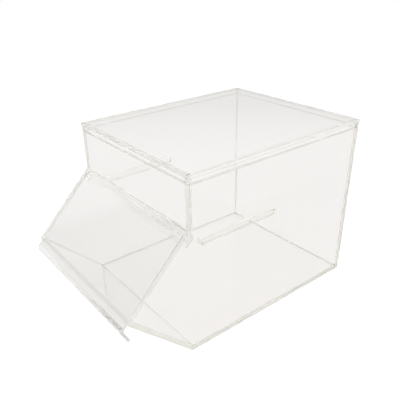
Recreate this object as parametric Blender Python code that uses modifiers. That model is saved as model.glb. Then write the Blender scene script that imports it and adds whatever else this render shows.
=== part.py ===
"""Clear acrylic candy bin: a box of glued sheets with a lift-off lid and a flip-up door.

Metres, +Z up. The origin is the middle of the floor's underside, and the mouth faces -Y.
Sections across the bin are drawn with (y, z) points and run along X.
"""
import math

import bpy
from mathutils import Vector

# Box
WIDTH = 0.2032              # over the side panels' outer faces
DEPTH = 0.2445              # from the front upper wall's outer face to the rear wall's
HEIGHT = 0.2015             # from the floor's underside to the lid's top
WALL = 0.0045               # sheet of the box
MOUTH_TOP = 0.1458          # height where the side panels' front edges turn out to the nose
NOSE_REACH = 0.0729         # how far the nose stands out from the front upper wall
NOSE_HEIGHT = 0.0729        # height of the nose
JOINT = 0.0003              # gap at a glued joint or between faces at rest
EDGE_ROUND = 0.0004         # rounding of every flame-polished edge

# Door and the rod that it hangs on
DOOR_SHEET = 0.003
DOOR_SIDE_GAP = 0.0008      # from each end of the door to the side panel
ROD_RADIUS = 0.003175
ROD_SETBACK = 0.0066        # from the mouth's top corner to the rod, measured down the slope
ROD_PLAY = 0.0003           # between the rod and the hook round it
HOOK_TAIL = 0.008           # straight end of the hook, past the rod's centre
SLOT_CLEARANCE = 0.0016     # between the level door and the front upper wall's lower edge
LIP_REACH = 0.0103          # how far the door runs on past the nose
LIP_FLANGE = 0.0178         # from the lip's crease to the flange's end
LIP_BEND = math.radians(72)
LIP_BEND_RADIUS = 0.0045    # inside the bend

# Runners for the level door
RUNNER_SIZE = 0.00635       # square bar
RUNNER_LENGTH = 0.1016
RUNNER_SETBACK = 0.0157     # from the rod's centre to the runner's front end

# Lid
LID_PLATE = 0.003
LID_BAND = 0.009            # height of the lid, plate and skirt together
LID_OVERHANG = 0.0005       # plate past the skirt
SKIRT_SHEET = 0.0045

# Facets
ROD_SIDES = 32
HOOK_STEPS = 16
LIP_BEND_STEPS = 8
WELD_DISTANCE = 0.00001
SHARP_EDGE = math.radians(30)

ACRYLIC_TINT = (0.955, 0.965, 0.945, 1.0)
ACRYLIC_ROUGHNESS = 0.04
ACRYLIC_IOR = 1.49

# A curve drawn in its own XY plane with this rotation has its x along Y and its y along Z
SECTION_ROTATION = (math.pi / 2, 0.0, math.pi / 2)


def remove_scene_objects():
    for old in list(bpy.data.objects):
        bpy.data.objects.remove(old, do_unlink=True)


def crossing(point, direction, other_point, other_direction):
    """Point where two lines of a section cross."""
    along = (other_point - point).cross(other_direction) / direction.cross(other_direction)
    return point + direction * along


def quarter_turn(direction):
    """Turns a section's direction a quarter turn from +Y towards +Z."""
    return Vector((-direction.y, direction.x))


# Lines of the section that the pieces share
MOUTH_CORNER = Vector((-DEPTH / 2, MOUTH_TOP))
NOSE = Vector((-DEPTH / 2 - NOSE_REACH, NOSE_HEIGHT))
FLOOR_CORNER = Vector((-DEPTH / 2, 0.0))
DOWN_SLOPE = (NOSE - MOUTH_CORNER).normalized()
INTO_BIN = quarter_turn(DOWN_SLOPE)
MOUTH_LENGTH = (NOSE - MOUTH_CORNER).length

HOOK_RADIUS = ROD_RADIUS + ROD_PLAY + DOOR_SHEET / 2      # to the middle of the sheet
HOOK_OUTSIDE = ROD_RADIUS + ROD_PLAY + DOOR_SHEET
ROD_CENTRE = MOUTH_CORNER + DOWN_SLOPE * ROD_SETBACK + INTO_BIN * HOOK_OUTSIDE

WALL_TOP = HEIGHT - LID_BAND - JOINT
INNER_WIDTH = WIDTH - 2 * WALL
GLUED_WIDTH = INNER_WIDTH - 2 * JOINT
PLATE_UNDERSIDE = HEIGHT - LID_PLATE


def acrylic(name):
    material = bpy.data.materials.new(name)
    material.use_nodes = True
    shader = material.node_tree.nodes["Principled BSDF"]
    shader.inputs["Base Color"].default_value = ACRYLIC_TINT
    shader.inputs["Roughness"].default_value = ACRYLIC_ROUGHNESS
    shader.inputs["Metallic"].default_value = 0.0
    shader.inputs["IOR"].default_value = ACRYLIC_IOR
    shader.inputs["Transmission Weight"].default_value = 1.0
    return material


def finish(part, collection, parent=None):
    """Gives a piece its material, its collection and its parent, where it stands."""
    part.data.materials.append(acrylic(part.name))
    for old in list(part.users_collection):
        old.objects.unlink(part)
    collection.objects.link(part)
    if parent:
        part.parent = parent
        part.location -= parent.location


def round_edges(part):
    bevel = part.modifiers.new("polished_edges", "BEVEL")
    bevel.width = EDGE_ROUND
    bevel.segments = 2
    bevel.limit_method = "ANGLE"
    bevel.angle_limit = SHARP_EDGE


def weld(part):
    joined = part.modifiers.new("weld", "WELD")
    joined.merge_threshold = WELD_DISTANCE


def section_curve(name, points, width, closed):
    """A curve through a section's points, drawn out along X by the width."""
    curve = bpy.data.curves.new(name, "CURVE")
    curve.dimensions = "2D"
    curve.fill_mode = "BOTH" if closed else "NONE"
    curve.extrude = width / 2
    spline = curve.splines.new("POLY")
    spline.points.add(len(points) - 1)
    for spot, point in zip(spline.points, points):
        spot.co = (point.x, point.y, 0.0, 1.0)
    spline.use_cyclic_u = closed
    part = bpy.data.objects.new(name, curve)
    part.rotation_euler = SECTION_ROTATION
    return part


def section_sheet(name, points, width, x_middle, collection):
    """A flat sheet or bar with the outline of the points."""
    part = section_curve(name, points, width, closed=True)
    part.location = (x_middle, 0.0, 0.0)
    weld(part)
    round_edges(part)
    finish(part, collection)
    return part


def box(name, low, high, collection, parent=None):
    """A rectangular sheet or bar between two corners."""
    low, high = Vector(low), Vector(high)
    bpy.ops.mesh.primitive_cube_add(size=1.0, location=(low + high) / 2)
    part = bpy.context.object
    part.name = name
    part.data.name = name
    part.scale = high - low
    bpy.ops.object.transform_apply(location=False, rotation=False, scale=True)
    round_edges(part)
    finish(part, collection, parent)
    return part


def side_panels(collection):
    outline = [
        FLOOR_CORNER,
        Vector((DEPTH / 2, 0.0)),
        Vector((DEPTH / 2, WALL_TOP)),
        Vector((-DEPTH / 2, WALL_TOP)),
        MOUTH_CORNER,
        NOSE,
    ]
    middle = WIDTH / 2 - WALL / 2
    section_sheet("left_side_panel", outline, WALL, -middle, collection)
    section_sheet("right_side_panel", outline, WALL, middle, collection)


def floor_and_lower_wall(collection):
    """The floor and the sloping wall in front of it meet at a mitre."""
    up_wall = (NOSE - FLOOR_CORNER).normalized()
    wall_inward = -quarter_turn(up_wall)
    mitre = (up_wall + Vector((1.0, 0.0))).normalized()
    rear = DEPTH / 2 - WALL - JOINT

    top_inner = crossing(FLOOR_CORNER, mitre, Vector((0.0, WALL)), Vector((1.0, 0.0)))
    floor = [FLOOR_CORNER, Vector((rear, 0.0)), Vector((rear, WALL)), top_inner]
    section_sheet("floor_panel", floor, GLUED_WIDTH, 0.0, collection)

    cut = FLOOR_CORNER + quarter_turn(mitre) * JOINT
    inner = FLOOR_CORNER + wall_inward * WALL
    seat = MOUTH_CORNER + INTO_BIN * (DOOR_SHEET + JOINT)
    wall = [
        crossing(FLOOR_CORNER, up_wall, cut, mitre),
        crossing(inner, up_wall, cut, mitre),
        crossing(inner, up_wall, seat, DOWN_SLOPE),
        crossing(FLOOR_CORNER, up_wall, seat, DOWN_SLOPE),
    ]
    section_sheet("front_lower_wall", wall, GLUED_WIDTH, 0.0, collection)


def upright_walls(collection):
    half = GLUED_WIDTH / 2
    slot_top = ROD_CENTRE.y + HOOK_OUTSIDE + SLOT_CLEARANCE
    box("front_upper_wall", (-half, -DEPTH / 2, slot_top), (half, -DEPTH / 2 + WALL, WALL_TOP), collection)
    box("rear_wall", (-half, DEPTH / 2 - WALL, 0.0), (half, DEPTH / 2, WALL_TOP), collection)


def hinge_rod(collection):
    bpy.ops.mesh.primitive_cylinder_add(
        vertices=ROD_SIDES, radius=ROD_RADIUS, depth=GLUED_WIDTH,
        location=(0.0, ROD_CENTRE.x, ROD_CENTRE.y), rotation=(0.0, math.pi / 2, 0.0))
    rod = bpy.context.object
    rod.name = "hinge_rod"
    rod.data.name = rod.name
    rod.data.shade_smooth()
    rod.data.set_sharp_from_angle(angle=SHARP_EDGE)
    finish(rod, collection)


def runners(collection):
    """Level bars whose tops are just under the hook when the door is level."""
    top = ROD_CENTRE.y - HOOK_OUTSIDE - JOINT
    front = ROD_CENTRE.x + RUNNER_SETBACK
    outer = INNER_WIDTH / 2 - JOINT
    inner = outer - RUNNER_SIZE
    for name, near, far in (("left_runner", -outer, -inner), ("right_runner", inner, outer)):
        box(name, (near, front, top - RUNNER_SIZE), (far, front + RUNNER_LENGTH, top), collection)


def arc(centre, radius, start, turn, steps):
    """Points round a centre, from a start angle through a turn."""
    angles = [start + turn * step / steps for step in range(steps + 1)]
    return [centre + Vector((math.cos(angle), math.sin(angle))) * radius for angle in angles]


def door_path():
    """Middle of the bent sheet, from the hook's tail to the lip's flange.

    The points are (down the slope, into the bin) from the rod's centre.
    """
    tail = Vector((HOOK_TAIL, HOOK_RADIUS))
    hook = arc(Vector((0.0, 0.0)), HOOK_RADIUS, math.pi / 2, math.pi, HOOK_STEPS)

    bend_radius = LIP_BEND_RADIUS + DOOR_SHEET / 2
    crease = MOUTH_LENGTH + LIP_REACH - ROD_SETBACK
    corner = crease - math.tan(LIP_BEND / 2) * DOOR_SHEET / 2
    bend_start = corner - bend_radius * math.tan(LIP_BEND / 2)
    bend_centre = Vector((bend_start, bend_radius - HOOK_RADIUS))
    bend = arc(bend_centre, bend_radius, -math.pi / 2, LIP_BEND, LIP_BEND_STEPS)

    flange_direction = Vector((math.cos(LIP_BEND), math.sin(LIP_BEND)))
    flange_end = Vector((crease, -HOOK_OUTSIDE)) + flange_direction * LIP_FLANGE
    flange_end = flange_end + quarter_turn(flange_direction) * DOOR_SHEET / 2
    return [tail] + hook + bend + [flange_end]


def door_panel(collection):
    points = [DOWN_SLOPE * point.x + INTO_BIN * point.y for point in door_path()]
    door = section_curve("door_panel", points, INNER_WIDTH - 2 * DOOR_SIDE_GAP, closed=False)
    door.location = (0.0, ROD_CENTRE.x, ROD_CENTRE.y)
    thickness = door.modifiers.new("sheet", "SOLIDIFY")
    thickness.thickness = DOOR_SHEET
    thickness.offset = 0.0
    thickness.use_even_offset = True
    round_edges(door)
    finish(door, collection)


def lid(collection):
    lift = bpy.data.objects.new("lid_lift", None)
    lift.location = (0.0, 0.0, HEIGHT - LID_BAND)
    collection.objects.link(lift)

    x_out, y_out = WIDTH / 2, DEPTH / 2
    bottom = HEIGHT - LID_BAND
    top = PLATE_UNDERSIDE - JOINT
    box("lid_top_plate", (-x_out - LID_OVERHANG, -y_out - LID_OVERHANG, PLATE_UNDERSIDE),
        (x_out + LID_OVERHANG, y_out + LID_OVERHANG, HEIGHT), collection, lift)

    x_in = x_out - SKIRT_SHEET
    box("lid_skirt_left", (-x_out, -y_out, bottom), (-x_in, y_out, top), collection, lift)
    box("lid_skirt_right", (x_in, -y_out, bottom), (x_out, y_out, top), collection, lift)
    x_end = x_in - JOINT
    y_in = y_out - SKIRT_SHEET
    box("lid_skirt_front", (-x_end, -y_out, bottom), (x_end, -y_in, top), collection, lift)
    box("lid_skirt_rear", (-x_end, y_in, bottom), (x_end, y_out, top), collection, lift)


def main():
    remove_scene_objects()
    collection = bpy.data.collections.new("candy_bin")
    bpy.context.scene.collection.children.link(collection)
    side_panels(collection)
    floor_and_lower_wall(collection)
    upright_walls(collection)
    hinge_rod(collection)
    runners(collection)
    door_panel(collection)
    lid(collection)


main()
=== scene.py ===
"""Looks of the clear acrylic candy bin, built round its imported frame.

The photograph's camera, a white studio, acrylic finishes, a smoother door and rod, and cement in
the glued joints. Metres, +Z up, the mouth towards -Y.
"""

import math

import bmesh
import bpy
from mathutils import Matrix, Vector


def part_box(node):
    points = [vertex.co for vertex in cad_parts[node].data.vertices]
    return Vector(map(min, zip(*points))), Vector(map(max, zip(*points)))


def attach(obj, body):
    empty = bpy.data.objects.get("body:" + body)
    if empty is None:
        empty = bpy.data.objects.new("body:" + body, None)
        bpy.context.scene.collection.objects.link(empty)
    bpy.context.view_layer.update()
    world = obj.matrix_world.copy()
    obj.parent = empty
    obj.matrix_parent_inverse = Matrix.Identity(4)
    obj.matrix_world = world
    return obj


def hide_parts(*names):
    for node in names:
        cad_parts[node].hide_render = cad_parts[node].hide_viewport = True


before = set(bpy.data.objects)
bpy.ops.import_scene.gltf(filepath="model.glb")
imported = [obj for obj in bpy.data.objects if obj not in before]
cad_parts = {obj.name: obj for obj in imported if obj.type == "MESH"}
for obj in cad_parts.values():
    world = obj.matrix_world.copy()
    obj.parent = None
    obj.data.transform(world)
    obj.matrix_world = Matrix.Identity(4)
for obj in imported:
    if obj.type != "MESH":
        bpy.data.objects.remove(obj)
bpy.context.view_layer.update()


# ---- Shader helpers

NOISE_ROUGHNESS = 0.55


class Value:
    """A shader socket. Arithmetic on it adds Math nodes."""

    def __init__(self, tree, socket):
        self.tree = tree
        self.socket = socket

    def math(self, operation, *numbers):
        return self.tree.add("ShaderNodeMath", {"operation": operation}, dict(enumerate(numbers)))

    def __add__(self, other):
        return self.math("ADD", self, other)

    def __radd__(self, other):
        return self.math("ADD", other, self)

    def __sub__(self, other):
        return self.math("SUBTRACT", self, other)

    def __rsub__(self, other):
        return self.math("SUBTRACT", other, self)

    def __mul__(self, other):
        return self.math("MULTIPLY", self, other)

    def __rmul__(self, other):
        return self.math("MULTIPLY", other, self)

    def __abs__(self):
        return self.math("ABSOLUTE", self)

    def larger(self, other):
        return self.math("MAXIMUM", self, other)

    def ramp(self, low, high):
        """0 at low and 1 at high, held beyond them, with an even slope between."""
        return self.tree.add(
            "ShaderNodeMapRange", {"interpolation_type": "LINEAR", "clamp": True},
            {0: self, 1: low, 2: high, 3: 0.0, 4: 1.0})


class Tree:
    """The nodes of one material or of the world."""

    def __init__(self, owner):
        owner.use_nodes = True
        self.nodes = owner.node_tree.nodes
        self.links = owner.node_tree.links
        self.nodes.clear()

    def add(self, kind, settings=None, inputs=None, output=0):
        """Adds a node, with its settings first, and gives one of its outputs."""
        node = self.nodes.new(kind)
        for name, setting in (settings or {}).items():
            setattr(node, name, setting)
        for name, value in (inputs or {}).items():
            if isinstance(value, Value):
                self.links.new(value.socket, node.inputs[name])
            else:
                node.inputs[name].default_value = value
        return Value(self, node.outputs[output]) if node.outputs else node

    def position(self):
        return self.add("ShaderNodeTexCoord", output="Object")

    def along(self, place, direction):
        """How far a place lies in a direction from the origin."""
        return self.add("ShaderNodeVectorMath", {"operation": "DOT_PRODUCT"},
                        {0: place, 1: tuple(direction)}, "Value")

    def noise(self, place, scale, detail=2.0, stretch=(1.0, 1.0, 1.0), turn=(0.0, 0.0, 0.0)):
        """Noise from 0 to 1, in scale lumps to the metre, fewer where it is stretched."""
        placed = self.add("ShaderNodeMapping", inputs={
            "Vector": place, "Rotation": turn, "Scale": tuple(1.0 / share for share in stretch)})
        return self.add("ShaderNodeTexNoise", inputs={
            "Vector": placed, "Scale": scale, "Detail": detail, "Roughness": NOISE_ROUGHNESS})

    def blend(self, factor, first, second):
        """Two colours mixed by a factor."""
        return self.add("ShaderNodeMix", {"data_type": "RGBA"},
                        {0: factor, 6: first, 7: second}, 2)


# ---- Camera

PHOTO_SIDE = 400                        # pixels of the photograph's frame
FOCAL_PIXELS = 482.0
PRINCIPAL_POINT = (188.97, 219.11)      # pixels from the frame's top left corner
SENSOR = 36.0
CAMERA_AZIMUTH = math.radians(52.97)
CAMERA_ELEVATION = math.radians(28.71)
CAMERA_ROLL = math.radians(-1.52)
EYE = Vector((0.40653, -0.35306, 0.36863))


def camera():
    """The photograph's camera, fitted to the bin's straight edges."""
    data = bpy.data.cameras.new("photo_camera")
    data.sensor_width = SENSOR
    data.lens = FOCAL_PIXELS / PHOTO_SIDE * SENSOR
    data.shift_x = 0.5 - PRINCIPAL_POINT[0] / PHOTO_SIDE
    data.shift_y = PRINCIPAL_POINT[1] / PHOTO_SIDE - 0.5
    data.clip_start = 0.01
    data.clip_end = 50.0
    eye = bpy.data.objects.new("photo_camera", data)
    level = math.cos(CAMERA_ELEVATION)
    back = Vector((
        math.sin(CAMERA_AZIMUTH) * level,
        -math.cos(CAMERA_AZIMUTH) * level,
        math.sin(CAMERA_ELEVATION),
    ))
    right = Vector((math.cos(CAMERA_AZIMUTH), math.sin(CAMERA_AZIMUTH), 0.0))
    up = back.cross(right)
    turned_right = right * math.cos(CAMERA_ROLL) + up * math.sin(CAMERA_ROLL)
    turned_up = back.cross(turned_right)
    axes = Matrix((turned_right, turned_up, back)).transposed()
    eye.matrix_world = Matrix.Translation(EYE) @ axes.to_4x4()
    bpy.context.scene.collection.objects.link(eye)
    bpy.context.scene.camera = eye


# ---- Studio

WHITE = (1.0, 1.0, 1.0, 1.0)
FLOOR_DROP = 0.0004                     # the studio floor below the bin's own
FLOOR_REACH = 3.0
FLOOR_GREY = 0.45
FLOOR_GLOW = 0.66                       # makes the unshaded floor white where it is seen
FLOOR_GLOW_IN_GLASS = 0.46              # the same paper seen through the bin, a little greyer
PAPER_IN_GLASS = (1.0, 0.98, 0.955, 1.0)
STUDIO_LIGHT = 1.15
FRONT_DIMMER = 0.4                      # how much less light comes from the front
PANEL_EDGE = math.radians(28.5)         # the way of the edge of a darker panel beside the door
PANEL_DIMMER = 0.42                     # how much darker the panel is at that edge
PANEL_INNER_DIMMER = 0.32               # what is added to it farther in
ACROSS_BIN = (-0.8, 0.6, 0.0)           # the way from the camera to what is behind the bin
ROOM_ELSEWHERE = 0.97                   # how bright the studio looks on the camera's side

# How bright it looks behind the bin at each height of a direction, from level to straight up
STUDIO_HEIGHTS = (
    (0.00, 1.00), (0.08, 0.98), (0.20, 0.66), (0.27, 0.70),
    (0.30, 0.80), (0.37, 0.94), (0.50, 0.97), (1.00, 0.97),
)


def seen_share(tree):
    """1 for what the camera sees, also through glass or mirrored, and 0 for what lights it."""
    rays = [tree.add("ShaderNodeLightPath", output=name)
            for name in ("Is Camera Ray", "Is Glossy Ray", "Is Transmission Ray")]
    after_a_dull_surface = tree.add("ShaderNodeLightPath", output="Diffuse Depth").ramp(0.0, 1.0)
    return rays[0].larger(rays[1]).larger(rays[2]) * (1.0 - after_a_dull_surface)


def studio_floor():
    """White paper that keeps the bin's shadow."""
    mesh = bpy.data.meshes.new("studio_floor")
    shape = bmesh.new()
    bmesh.ops.create_grid(shape, x_segments=1, y_segments=1, size=FLOOR_REACH)
    bmesh.ops.translate(shape, verts=shape.verts, vec=(0.0, 0.0, -FLOOR_DROP))
    shape.to_mesh(mesh)
    shape.free()
    floor = bpy.data.objects.new("studio_floor", mesh)
    bpy.context.scene.collection.objects.link(floor)

    material = bpy.data.materials.new("studio_floor")
    tree = Tree(material)
    paper = tree.add("ShaderNodeBsdfDiffuse", inputs={
        "Color": (FLOOR_GREY, FLOOR_GREY, FLOOR_GREY, 1.0)})
    direct = tree.add("ShaderNodeLightPath", output="Is Camera Ray")
    glow = tree.add("ShaderNodeEmission", inputs={
        "Color": tree.blend(direct, PAPER_IN_GLASS, WHITE),
        "Strength": direct * (FLOOR_GLOW - FLOOR_GLOW_IN_GLASS) + FLOOR_GLOW_IN_GLASS})
    lit_paper = tree.add("ShaderNodeAddShader", inputs={0: paper, 1: glow})
    tree.add("ShaderNodeOutputMaterial", inputs={"Surface": lit_paper})
    mesh.materials.append(material)


def studio_world():
    """Even white light. Glass shows a room that is a little darker above the backdrop."""
    world = bpy.data.worlds.new("studio")
    bpy.context.scene.world = world
    tree = Tree(world)
    direction = tree.add("ShaderNodeTexCoord", output="Generated")
    height = tree.add("ShaderNodeSeparateXYZ", inputs={0: direction}, output="Z")
    front = tree.add("ShaderNodeSeparateXYZ", inputs={0: direction}, output="Y") * -1.0
    room = STUDIO_HEIGHTS[0][1]
    for (low, darker), (high, lighter) in zip(STUDIO_HEIGHTS, STUDIO_HEIGHTS[1:]):
        room = height.ramp(low, high) * (lighter - darker) + room
    behind = tree.along(direction, ACROSS_BIN).ramp(0.0, 0.4)
    room = behind * (room - ROOM_ELSEWHERE) + ROOM_ELSEWHERE
    beside = tree.along(direction, (math.sin(PANEL_EDGE), -math.cos(PANEL_EDGE), 0.0))
    sideways = beside.ramp(0.0, 0.03) * (1.0 - beside.ramp(0.4, 0.65))
    panel = sideways * (1.0 - height.ramp(0.5, 0.7))
    room = room * (1.0 - panel * (beside.ramp(0.08, 0.20) * PANEL_INNER_DIMMER + PANEL_DIMMER))
    dome = (1.0 - front.ramp(0.0, 0.7) * FRONT_DIMMER) * STUDIO_LIGHT
    camera_ray = tree.add("ShaderNodeLightPath", output="Is Camera Ray")
    seen = seen_share(tree)
    strength = seen * camera_ray.larger(room) + (1.0 - seen) * dome
    light = tree.add("ShaderNodeBackground", inputs={"Color": WHITE, "Strength": strength})
    tree.add("ShaderNodeOutputWorld", inputs={"Surface": light})


# ---- Acrylic

ACRYLIC_IOR = 1.49
DEPTH_COLOUR = (0.72, 0.72, 0.66, 1.0)  # what long ways through the sheet take on
DEPTH_DENSITY = 0.25
CLEAR = (0.992, 0.990, 0.986, 1.0)
CLEAR_WARM = (0.994, 0.988, 0.982, 1.0)
POLISHED = 0.005                        # roughness of a clean face
SMEARED = 0.03                          # how much rougher smears, hairlines and the saw make it
HAIRLINED = 0.1
SAWN = 0.25
SAW_SPREAD = 0.1                        # how far a sawn edge's roughness varies
FACE_WAVES = 0.00001                    # height of the relief of faces, hairlines and sawn edges
HAIRLINE_DEPTH = 0.000001
SAW_RIPPLES = 0.0000003
FACE_DEPTH = 0.00012                    # how thick a sheet's faces are in the masks
# The colour the sheets take in dashes along the lid's seam, darker than the clear sheet
SEAM_DARKENING = (0.56, 0.56, 0.53, 1.0)
SEAM_REACH = 0.0005                     # how far the darker colour reaches above and below the lid's seam

# How each set of hairlines is turned, and how many of them lie in a metre
HAIRLINES = (
    ((0.3, 0.2, 0.5), 260.0),
    ((0.9, 1.7, -0.8), 340.0),
    ((2.1, -0.6, 1.4), 300.0),
)
HAIR_STRETCH = (1.0, 60.0, 60.0)

# How much of a cut edge is dull instead of clear, and the dull part's colour
CUT_FILM = (0.6, (0.96, 0.96, 0.94, 1.0))
# The door's dull colour is greyer than the other edges': a satin cut edge, with painted shade for
# the door's dark outline
DOOR_CUT_FILM_AND_PAINTED_SHADE = (0.65, (0.78, 0.78, 0.75, 1.0))
RUNNER_FILM = (0.8, (0.92, 0.92, 0.89, 1.0))
LOWER_WALL_FILM = (1.0, (0.92, 0.92, 0.89, 1.0))

# How much of that a piece's tip has
LOWER_WALL_TIP = 1.0
DOOR_LIP_TIP = 0.15


def scratches(tree, place):
    """Hairlines from wiping, in a few directions, thicker in some patches than in others."""
    lines = 0.0
    for turn, scale in HAIRLINES:
        hair = tree.noise(place, scale, detail=1.0, stretch=HAIR_STRETCH, turn=turn)
        lines = hair.ramp(0.70, 0.74) + lines
    patches = tree.noise(place, 22.0).ramp(0.50, 0.68)
    return lines * patches


def acrylic(name, normal=None, low=0.0, high=0.0, ends=False, seam=None, tip=None, film=CUT_FILM):
    """Clear cast sheet, satin where it is cut, and darker in dashes along a seam at a height.

    Its faces stand at low and high along the normal, and the rest is cut edge. With ends, the
    cut edges are what stands at low and high. A tip is one more cut edge: a direction, how far
    out it stands, and how dull it is.
    """
    material = bpy.data.materials.new(name)
    tree = Tree(material)
    place = tree.position()
    warmth = tree.noise(place, 16.0).ramp(0.35, 0.65)
    hairlines = scratches(tree, place)
    smears = tree.noise(place, 30.0, detail=3.0).ramp(0.52, 0.75)
    roughness = smears * SMEARED + hairlines * HAIRLINED + POLISHED
    relief = tree.noise(place, 14.0, detail=1.0) * FACE_WAVES - hairlines * HAIRLINE_DEPTH
    if normal:
        middle, half = (low + high) / 2, (high - low) / 2
        depth = abs(tree.along(place, normal) - middle)
        edge = depth.ramp(half - 2 * FACE_DEPTH, half - FACE_DEPTH)
        if not ends:
            edge = 1.0 - edge
        if tip:
            way, reach, dullness = tip
            at_tip = tree.along(place, way).ramp(reach - 2 * FACE_DEPTH, reach - FACE_DEPTH)
            edge = edge.larger(at_tip * dullness)
        ripples = tree.noise(place, 220.0, detail=2.0)
        relief = relief + ripples * edge * SAW_RIPPLES
        roughness = roughness + edge * (ripples * SAW_SPREAD + SAWN)
    bump = tree.add("ShaderNodeBump", inputs={"Strength": 1.0, "Distance": 1.0, "Height": relief})
    colour = tree.blend(warmth, CLEAR, CLEAR_WARM)
    if seam is not None:
        # Darker colour in dashes on the faces near the seam, kept off the cut edges
        line = 1.0 - abs(tree.along(place, Z_AXIS) - seam).ramp(SEAM_REACH / 2, SEAM_REACH)
        seam_dashes = tree.noise(place, 90.0, detail=2.0).ramp(0.42, 0.58) * 0.6 + 0.4
        colour = tree.blend(line * seam_dashes * (1.0 - edge), colour, SEAM_DARKENING)
    shader = tree.add("ShaderNodeBsdfPrincipled", inputs={
        "Base Color": colour, "Roughness": roughness, "Normal": bump,
        "IOR": ACRYLIC_IOR, "Transmission Weight": 1.0,
    })
    if normal:
        share, dull_colour = film
        dull = tree.add("ShaderNodeBsdfDiffuse", inputs={"Color": dull_colour})
        shader = tree.add("ShaderNodeMixShader", inputs={0: edge * share, 1: shader, 2: dull})
    inside = tree.add("ShaderNodeVolumeAbsorption", inputs={
        "Color": DEPTH_COLOUR, "Density": DEPTH_DENSITY})
    tree.add("ShaderNodeOutputMaterial", inputs={"Surface": shader, "Volume": inside})
    return material


# ---- The bin's lines and sizes, as in the part's source

X_AXIS = Vector((1.0, 0.0, 0.0))
Y_AXIS = Vector((0.0, 1.0, 0.0))
Z_AXIS = Vector((0.0, 0.0, 1.0))
DOWN_SLOPE = Vector((0.0, -1.0, -1.0)).normalized()
INTO_BIN = Vector((0.0, 1.0, -1.0)).normalized()
UP_LOWER_WALL = Vector((0.0, -1.0, 1.0)).normalized()
LOWER_WALL_INWARD = Vector((0.0, 1.0, 1.0)).normalized()

WALL = 0.0045
JOINT = 0.0003
EDGE_ROUND = 0.0004
DOOR_SHEET = 0.003
ROD_RADIUS = 0.003175
ROD_PLAY = 0.0003
ROD_CENTRE = Vector((0.0, -0.122338, 0.136555))
HOOK_RADIUS = ROD_RADIUS + ROD_PLAY + DOOR_SHEET / 2
HOOK_TAIL = 0.008
LIP_BEND = math.radians(72)
LIP_BEND_RADIUS = 0.0045 + DOOR_SHEET / 2
LIP_CREASE = 0.106801                   # from the rod's centre down the slope, outside the bend
LIP_FLANGE = 0.0178

SMOOTH_UP_TO = math.radians(35)
ROUND_FROM = math.radians(30)           # edges sharper than this are rounded
FLAT_FACE = 0.0007                      # faces this large, in square metres, belong to a flat
SAME_SPOT = 0.000001


def finished(name, shape, material, body):
    """Turns a bmesh into a piece that rides on a body."""
    bmesh.ops.recalc_face_normals(shape, faces=shape.faces)
    mesh = bpy.data.meshes.new(name)
    shape.to_mesh(mesh)
    shape.free()
    mesh.shade_smooth()
    mesh.set_sharp_from_angle(angle=SMOOTH_UP_TO)
    for face in mesh.polygons:
        face.use_smooth = face.area < FLAT_FACE
    mesh.materials.append(material)
    piece = bpy.data.objects.new(name, mesh)
    bpy.context.scene.collection.objects.link(piece)
    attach(piece, body)
    return piece


def drawn_out(profile, way):
    """A bmesh with a profile drawn out along a way."""
    shape = bmesh.new()
    face = shape.faces.new([shape.verts.new(point) for point in profile])
    lengthen(shape, face, way)
    return shape


def lengthen(shape, face, way):
    """Draws a face out along a way, and gives the face at its far end."""
    made = bmesh.ops.extrude_face_region(shape, geom=[face])["geom"]
    far = [item for item in made if isinstance(item, bmesh.types.BMVert)]
    bmesh.ops.translate(shape, verts=far, vec=way)
    return next(item for item in made if isinstance(item, bmesh.types.BMFace))


def turned(shape, face, centre, angle, steps):
    """Bends a face's far end round an axis along X, and gives the face at its far end."""
    made = bmesh.ops.spin(
        shape, geom=[face, *face.edges, *face.verts], cent=centre, axis=X_AXIS,
        angle=angle, steps=steps)
    return next(item for item in made["geom_last"] if isinstance(item, bmesh.types.BMFace))


def rounded(shape, width, segments):
    """Rounds every sharp edge of a shape."""
    sharp = [edge for edge in shape.edges if edge.calc_face_angle(0.0) > ROUND_FROM]
    bmesh.ops.bevel(
        shape, geom=sharp, offset=width, offset_type="OFFSET", affect="EDGES",
        segments=segments, profile=0.5, material=-1)


# ---- Acrylic pieces of the frame, and finer ones in the place of its bent and round nodes

HOOK_STEPS = 48
LIP_BEND_STEPS = 24
ROD_SIDES = 96

FLAT_SHEETS = (
    "left_side_panel", "right_side_panel", "floor_panel", "rear_wall", "front_upper_wall",
    "lid_top_plate", "lid_skirt_front", "lid_skirt_rear", "lid_skirt_left", "lid_skirt_right",
)


def dress_frame():
    """Acrylic on every node of the frame."""
    seam = (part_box("rear_wall")[1].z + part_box("lid_skirt_rear")[0].z) / 2
    for name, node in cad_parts.items():
        low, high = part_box(name)
        if name in FLAT_SHEETS:
            axis = min(range(3), key=lambda index: high[index] - low[index])
            normal = (X_AXIS, Y_AXIS, Z_AXIS)[axis]
            material = acrylic("acrylic_" + name, normal, low[axis], high[axis],
                               seam=None if normal is Z_AXIS else seam)
        elif name == "front_lower_wall":
            top_end = UP_LOWER_WALL.dot((0.0, low.y, high.z)) - WALL / 2
            material = acrylic("acrylic_" + name, X_AXIS, low.x, high.x, ends=True,
                               tip=(UP_LOWER_WALL, top_end, LOWER_WALL_TIP), film=LOWER_WALL_FILM)
        elif name.endswith("_runner"):
            material = acrylic("acrylic_" + name, X_AXIS, low.x, high.x, film=RUNNER_FILM)
        else:
            material = acrylic("acrylic_" + name)
        node.data.materials.clear()
        node.data.materials.append(material)


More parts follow.
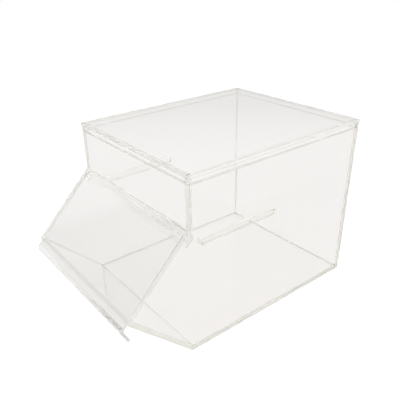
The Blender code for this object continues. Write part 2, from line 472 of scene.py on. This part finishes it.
def bent_door():
    """One sheet bent hot: the hook round the rod, the flat and the finger lip."""
    low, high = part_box("door_panel")
    shape = bmesh.new()
    bmesh.ops.create_grid(shape, x_segments=1, y_segments=1, size=0.5)
    bmesh.ops.scale(shape, verts=shape.verts, vec=(high.x - low.x, DOOR_SHEET, 1.0))
    bmesh.ops.rotate(
        shape, verts=shape.verts, matrix=Matrix.Rotation(math.radians(-45), 3, "X"))
    tail = ROD_CENTRE + DOWN_SLOPE * HOOK_TAIL + INTO_BIN * HOOK_RADIUS
    bmesh.ops.translate(shape, verts=shape.verts, vec=tail)
    shape.faces.ensure_lookup_table()

    end = lengthen(shape, shape.faces[0], DOWN_SLOPE * -HOOK_TAIL)
    end = turned(shape, end, ROD_CENTRE, math.pi, HOOK_STEPS)
    corner = LIP_CREASE - math.tan(LIP_BEND / 2) * DOOR_SHEET / 2
    bend_start = corner - LIP_BEND_RADIUS * math.tan(LIP_BEND / 2)
    end = lengthen(shape, end, DOWN_SLOPE * bend_start)
    bend_centre = ROD_CENTRE + DOWN_SLOPE * bend_start + INTO_BIN * (LIP_BEND_RADIUS - HOOK_RADIUS)
    end = turned(shape, end, bend_centre, LIP_BEND, LIP_BEND_STEPS)
    flange = DOWN_SLOPE * math.cos(LIP_BEND) + INTO_BIN * math.sin(LIP_BEND)
    outside = ROD_CENTRE + DOWN_SLOPE * LIP_CREASE - INTO_BIN * (HOOK_RADIUS + DOOR_SHEET / 2)
    flange_end = flange.dot(outside) + LIP_FLANGE
    lengthen(shape, end, flange * (flange_end - flange.dot(end.calc_center_median())))
    rounded(shape, EDGE_ROUND, 3)
    # The door's side edges and lip tip take that greyer dull colour, painted shade for its dark
    # outline
    material = acrylic("acrylic_bent_door", X_AXIS, low.x, high.x, ends=True,
                       tip=(flange, flange_end, DOOR_LIP_TIP), film=DOOR_CUT_FILM_AND_PAINTED_SHADE)
    door = finished("bent_door", shape, material, "door")
    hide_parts("door_panel")


def round_rod():
    """The hinge rod, turned smooth with its ends' edges broken."""
    low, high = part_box("hinge_rod")
    shape = bmesh.new()
    made = bmesh.ops.create_circle(shape, cap_ends=True, segments=ROD_SIDES, radius=ROD_RADIUS)
    bmesh.ops.rotate(
        shape, verts=made["verts"], matrix=Matrix.Rotation(math.radians(90), 3, "Y"))
    bmesh.ops.translate(shape, verts=made["verts"], vec=(low.x, ROD_CENTRE.y, ROD_CENTRE.z))
    shape.faces.ensure_lookup_table()
    lengthen(shape, shape.faces[0], X_AXIS * (high.x - low.x))
    rounded(shape, EDGE_ROUND / 2, 2)
    rod = finished("round_rod", shape, acrylic("acrylic_round_rod"), "bin")
    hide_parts("hinge_rod")


# ---- Cement in the glued joints

OVERLAP = 0.00005                       # how far cement reaches into each sheet
BEAD = 0.0007                           # cement squeezed out into an inner corner
BEAD_STEPS = 8
SIDES = (("left", -1.0), ("right", 1.0))
CEMENT_CLEAR = (0.996, 0.995, 0.992, 1.0)
CEMENT_VOID = (0.975, 0.975, 0.970, 1.0)


def cement():
    """Clear solvent cement, with specks and short voids where it didn't run."""
    material = bpy.data.materials.new("cement")
    tree = Tree(material)
    place = tree.position()
    voids = tree.noise(place, 420.0, detail=3.0).ramp(0.66, 0.76)
    shader = tree.add("ShaderNodeBsdfPrincipled", inputs={
        "Base Color": tree.blend(voids, CEMENT_CLEAR, CEMENT_VOID),
        "Roughness": voids * 0.2 + 0.02,
        "IOR": ACRYLIC_IOR, "Transmission Weight": 1.0,
    })
    tree.add("ShaderNodeOutputMaterial", inputs={"Surface": shader})
    return material


def bead(corner, away, inward, gap):
    """Points of a hollow bead, from the through sheet's face to the butted sheet's."""
    return [
        corner + away * ((gap + BEAD) * share ** 2) + inward * (BEAD * (1.0 - share) ** 2)
        for share in (step / BEAD_STEPS for step in range(BEAD_STEPS + 1))
    ]


def cemented(corner, away, inward, gap, sheet, both_sides=False):
    """Profile of a joint where a sheet's end meets another sheet's face: a film and a bead.

    corner is on the through sheet's face, level with the butted sheet's inner face. away points
    off the through sheet, and inward off the butted sheet's inner face.
    """
    def spot(off, up):
        return corner + away * off + inward * up

    inside = [spot(-OVERLAP, BEAD), *bead(corner, away, inward, gap), spot(gap + BEAD, -OVERLAP)]
    film = [spot(gap + OVERLAP, -OVERLAP), spot(gap + OVERLAP, -sheet + OVERLAP)]
    if not both_sides:
        return [*inside, *film, spot(-OVERLAP, -sheet + OVERLAP)]
    under = bead(corner - inward * sheet, away, -inward, gap)
    return [*inside, *film, spot(gap + BEAD, -sheet + OVERLAP), *reversed(under),
            spot(-OVERLAP, -sheet - BEAD)]


def glue(name, profile, way, material, body):
    """A joint's cement, its profile drawn out along the joint."""
    finished("cement_" + name, drawn_out(profile, way), material, body)


def lid_joints(material):
    """The plate on the skirt, and the skirt's four corners."""
    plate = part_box("lid_top_plate")[0].z
    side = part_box("lid_skirt_right")
    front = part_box("lid_skirt_front")
    gap = plate - side[1].z
    x_in, x_end = side[0].x, front[1].x
    y_out, y_in = -front[0].y, -front[1].y
    for name, hand in SIDES:
        inner = Vector((hand * x_in, -y_out, plate))
        glue("lid_" + name, cemented(inner, -Z_AXIS, -X_AXIS * hand, gap, side[1].x - x_in),
             Y_AXIS * (2 * y_out), material, "lid")
    for name, hand in (("front", -1.0), ("rear", 1.0)):
        inner = Vector((-x_end, hand * y_in, plate))
        glue("lid_" + name, cemented(inner, -Z_AXIS, -Y_AXIS * hand, gap, y_out - y_in),
             X_AXIS * (2 * x_end), material, "lid")
        for side_name, side_hand in SIDES:
            corner = Vector((side_hand * x_in, hand * y_in, front[0].z))
            profile = cemented(
                corner, -X_AXIS * side_hand, -Y_AXIS * hand, x_in - x_end, y_out - y_in)
            glue(f"lid_{name}_{side_name}_corner", profile, Z_AXIS * (front[1].z - front[0].z),
                 material, "lid")


def bin_joints(material):
    """The sheets, runners and rod between the side panels, and the floor's two ends."""
    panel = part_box("right_side_panel")[0].x
    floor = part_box("floor_panel")
    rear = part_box("rear_wall")
    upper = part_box("front_upper_wall")
    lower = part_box("front_lower_wall")
    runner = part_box("right_runner")
    floor_corner = Vector((0.0, floor[0].y, 0.0))
    gap = panel - floor[1].x
    lower_top = Vector((0.0, lower[0].y, lower[1].z)) - floor_corner
    lower_way = UP_LOWER_WALL * (UP_LOWER_WALL.dot(lower_top) - WALL / 2)
    inner_corner = Vector((0.0, floor[0].y + WALL * math.tan(math.radians(22.5)), WALL))

    for name, hand in SIDES:
        away = -X_AXIS * hand
        face = X_AXIS * (hand * panel)
        for slot, inner, inward, way in (
            ("floor_panel", inner_corner, Z_AXIS, Y_AXIS * (floor[1].y - inner_corner.y)),
            ("rear_wall", Vector((0.0, rear[0].y, 0.0)), -Y_AXIS, Z_AXIS * rear[1].z),
            ("front_upper_wall", Vector((0.0, upper[1].y, upper[0].z)), Y_AXIS,
             Z_AXIS * (upper[1].z - upper[0].z)),
            ("front_lower_wall", inner_corner, LOWER_WALL_INWARD, lower_way),
        ):
            glue(f"{slot}_{name}", cemented(face + inner, away, inward, gap, WALL),
                 way, material, "bin")
        top = face + Vector((0.0, runner[0].y, runner[1].z))
        profile = cemented(
            top, away, Z_AXIS, gap, runner[1].z - runner[0].z, both_sides=True)
        glue("runner_" + name, profile, Y_AXIS * (runner[1].y - runner[0].y),
             material, "bin")
        rod_end(name, face, away, gap, material)

    across = X_AXIS * (2 * floor[1].x)
    profile = cemented(Vector((-floor[1].x, rear[0].y, WALL)), -Y_AXIS, Z_AXIS,
                       rear[0].y - floor[1].y, WALL)
    glue("floor_rear", profile, across, material, "bin")
    glue("floor_front", mitre(floor_corner, inner_corner, -floor[1].x), across,
         material, "bin")


def rod_end(name, face, away, gap, material):
    """A ring of cement round one end of the rod, spun about the rod's line."""
    centre = face + Vector((0.0, ROD_CENTRE.y, ROD_CENTRE.z))
    points = [
        centre + away * -OVERLAP, centre + away * -OVERLAP + Z_AXIS * (ROD_RADIUS + BEAD),
        *bead(centre + Z_AXIS * ROD_RADIUS, away, Z_AXIS, gap),
        centre + away * (gap + BEAD) + Z_AXIS * (ROD_RADIUS - OVERLAP),
        centre + away * (gap + OVERLAP) + Z_AXIS * (ROD_RADIUS - OVERLAP),
        centre + away * (gap + OVERLAP),
    ]
    shape = bmesh.new()
    spots = [shape.verts.new(point) for point in points]
    edges = [shape.edges.new(pair) for pair in zip(spots, spots[1:])]
    bmesh.ops.spin(shape, geom=spots + edges, cent=centre, axis=X_AXIS, angle=2 * math.pi,
                   steps=ROD_SIDES, use_merge=True)
    bmesh.ops.remove_doubles(shape, verts=shape.verts, dist=SAME_SPOT)
    finished("cement_rod_" + name, shape, material, "bin")


def mitre(outer, inner, x):
    """Profile of the film between the floor's and the lower wall's mitred ends."""
    along = (inner - outer).normalized()
    across = along.cross(X_AXIS)
    if across.y > 0:
        across = -across
    start = X_AXIS * x + outer + along * OVERLAP
    end = X_AXIS * x + inner - along * OVERLAP
    return [
        start - across * OVERLAP, end - across * OVERLAP,
        end + across * (JOINT + OVERLAP), start + across * (JOINT + OVERLAP),
    ]


# ---- The whole scene

CLEAR_BOUNCES = 256                     # light runs a long way inside the cut edges
DULL_BOUNCES = 64


def main():
    """Sets up the picture, then dresses the frame and adds what rides on it."""
    scene = bpy.context.scene
    scene.view_settings.view_transform = "Standard"
    scene.cycles.max_bounces = CLEAR_BOUNCES
    scene.cycles.diffuse_bounces = DULL_BOUNCES
    scene.cycles.transmission_bounces = CLEAR_BOUNCES
    scene.cycles.glossy_bounces = CLEAR_BOUNCES
    scene.cycles.blur_glossy = 0.0
    camera()
    studio_floor()
    studio_world()
    dress_frame()
    bent_door()
    round_rod()
    joint_cement = cement()
    lid_joints(joint_cement)
    bin_joints(joint_cement)


main()
